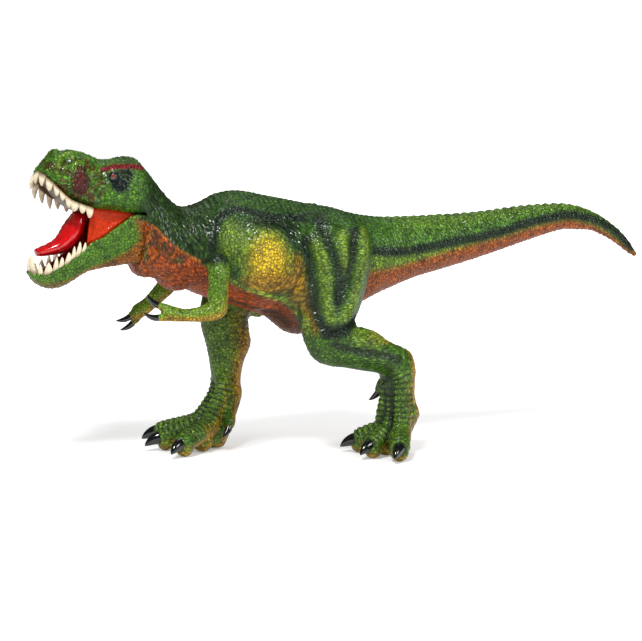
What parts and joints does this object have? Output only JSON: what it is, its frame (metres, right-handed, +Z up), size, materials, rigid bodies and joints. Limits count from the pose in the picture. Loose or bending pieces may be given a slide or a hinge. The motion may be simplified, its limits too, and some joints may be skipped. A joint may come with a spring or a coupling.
{
  "type": "toy dinosaur figure",
  "caption": "Soft vinyl tyrannosaur toy in a walking pose, with an open hinged jaw and swivel arms, that stands on its two feet.",
  "frame": {"origin": "centre of the bounding box in X and Y, on the surface that the soles stand on", "axes": "-X is the way the figure faces, -Y is its left side, +Z is up"},
  "size_m": [0.3524, 0.1046, 0.1624],
  "materials": {
    "body_vinyl": "soft PVC, rotation moulded, airbrushed green over orange, glossy clear coat",
    "tail_vinyl": "soft PVC, rotation moulded, airbrushed, glossy clear coat",
    "leg_vinyl": "soft PVC, airbrushed green over orange, glossy clear coat",
    "arm_vinyl": "soft PVC, airbrushed, glossy clear coat",
    "head_vinyl": "soft PVC, airbrushed bright green, glossy clear coat",
    "tooth_enamel": "moulded PVC painted ivory",
    "mouth_red": "soft PVC painted dark red, gloss",
    "tongue_red": "soft PVC painted bright red, high gloss",
    "cheek_vinyl": "soft PVC painted orange red",
    "claw_gloss": "PVC with black-teal gloss enamel",
    "eye_gloss": "black gloss bead",
    "axle_steel": "drawn steel pin"
  },
  "bodies": {
    "root": {"cheek_left": "cheek_vinyl", "cheek_right": "cheek_vinyl", "eye_left": "eye_gloss", "eye_right": "eye_gloss", "head_shell": "head_vinyl", "jaw_axle": "axle_steel", "leg_left": "leg_vinyl", "leg_left_claw_inner": "claw_gloss", "leg_left_claw_middle": "claw_gloss", "leg_left_claw_outer": "claw_gloss", "leg_left_claw_rear": "claw_gloss", "leg_right": "leg_vinyl", "leg_right_claw_inner": "claw_gloss", "leg_right_claw_middle": "claw_gloss", "leg_right_claw_outer": "claw_gloss", "leg_right_claw_rear": "claw_gloss", "tail_shell": "tail_vinyl", "throat_lining": "mouth_red", "trunk_shell": "body_vinyl", "upper_teeth": "tooth_enamel"},
    "jaw": {"lower_jaw": "head_vinyl", "lower_teeth": "tooth_enamel", "mouth_floor": "mouth_red", "tongue": "tongue_red"},
    "left_arm": {"arm_left": "arm_vinyl", "arm_left_claw_1": "claw_gloss", "arm_left_claw_2": "claw_gloss"},
    "right_arm": {"arm_right": "arm_vinyl", "arm_right_claw_1": "claw_gloss", "arm_right_claw_2": "claw_gloss"}
  },
  "joints": [
    {"name": "jaw_hinge", "type": "hinge", "parent": "root", "child": "jaw", "pos_m": [-0.11418, 0.00413, 0.123], "axis": [0, 1, 0], "range_deg": [0, 16], "deforming": ["tongue"]},
    {"name": "left_shoulder", "type": "hinge", "parent": "root", "child": "left_arm", "pos_m": [-0.08318, -0.02019, 0.105], "axis": [0, 1, 0], "range_deg": [-40, 60]},
    {"name": "right_shoulder", "type": "hinge", "parent": "root", "child": "right_arm", "pos_m": [-0.08318, 0.02846, 0.105], "axis": [0, 1, 0], "range_deg": [-40, 60]}
  ]
}
